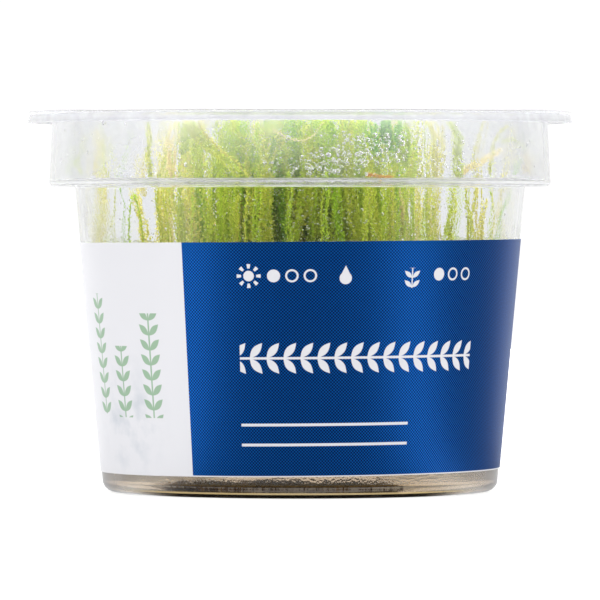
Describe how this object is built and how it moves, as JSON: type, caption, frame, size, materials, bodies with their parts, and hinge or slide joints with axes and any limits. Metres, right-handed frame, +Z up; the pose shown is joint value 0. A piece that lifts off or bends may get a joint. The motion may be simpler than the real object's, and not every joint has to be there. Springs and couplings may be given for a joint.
{
  "type": "flame moss tissue culture cup",
  "caption": "Round clear plastic culture cup with a flanged rim, sealed film, wrap-round label and gel, filled with upright moss.",
  "frame": {"origin": "middle of the foot ring, on the surface the cup stands on", "axes": "+Z up; the front, where the blue panel of the label begins, faces -Y; +X to the right seen from the front"},
  "size_m": [0.1006, 0.1006, 0.0702],
  "materials": {
    "clear_polypropylene": "clear, slightly milky injection-moulded polypropylene",
    "clear_film": "clear heat-sealed film, slightly wavy",
    "printed_label": "satin self-adhesive film, printed blue and white with fine halftone dots",
    "nutrient_gel": "smooth wet gel, brown-gold and slightly see-through",
    "moss": "fine soft leafy strands, pale yellow-green to dark green"
  },
  "bodies": {
    "root": {"cup": "clear_polypropylene", "sealing_film": "clear_film", "label": "printed_label", "nutrient_gel": "nutrient_gel", "moss": "moss"}
  },
  "joints": []
}
